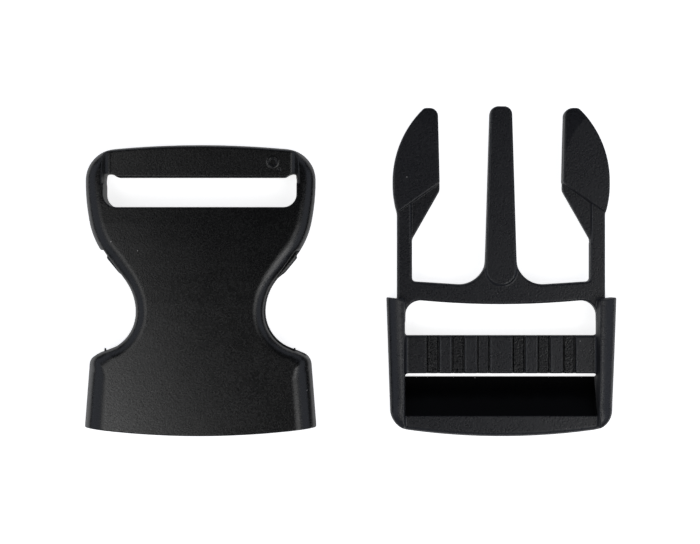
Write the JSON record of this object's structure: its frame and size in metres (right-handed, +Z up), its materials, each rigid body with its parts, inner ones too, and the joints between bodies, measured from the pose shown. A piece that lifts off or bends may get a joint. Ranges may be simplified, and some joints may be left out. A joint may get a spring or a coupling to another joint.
{
  "type": "side release buckle",
  "caption": "Side release buckle for wide flat webbing, unfastened: a flat socket with a shield and side windows, and a plug with sprung arms, a tongue and a ladder adjuster.",
  "frame": {"origin": "centre of the bounding box of both halves, on the surface that they lie on", "axes": "+X across both halves, from the socket to the plug; +Y along both halves, towards the socket's webbing slot and the tips of the plug's prongs; +Z up, out of the upper faces"},
  "size_m": [0.1409, 0.0877, 0.0124],
  "materials": {
    "socket_plastic": "fine-grained satin moulded nylon, soft edge highlights",
    "plug_plastic": "fine-grained satin moulded nylon, soft edge highlights"
  },
  "bodies": {
    "root": {"socket": "socket_plastic", "plug": "plug_plastic"}
  },
  "joints": []
}
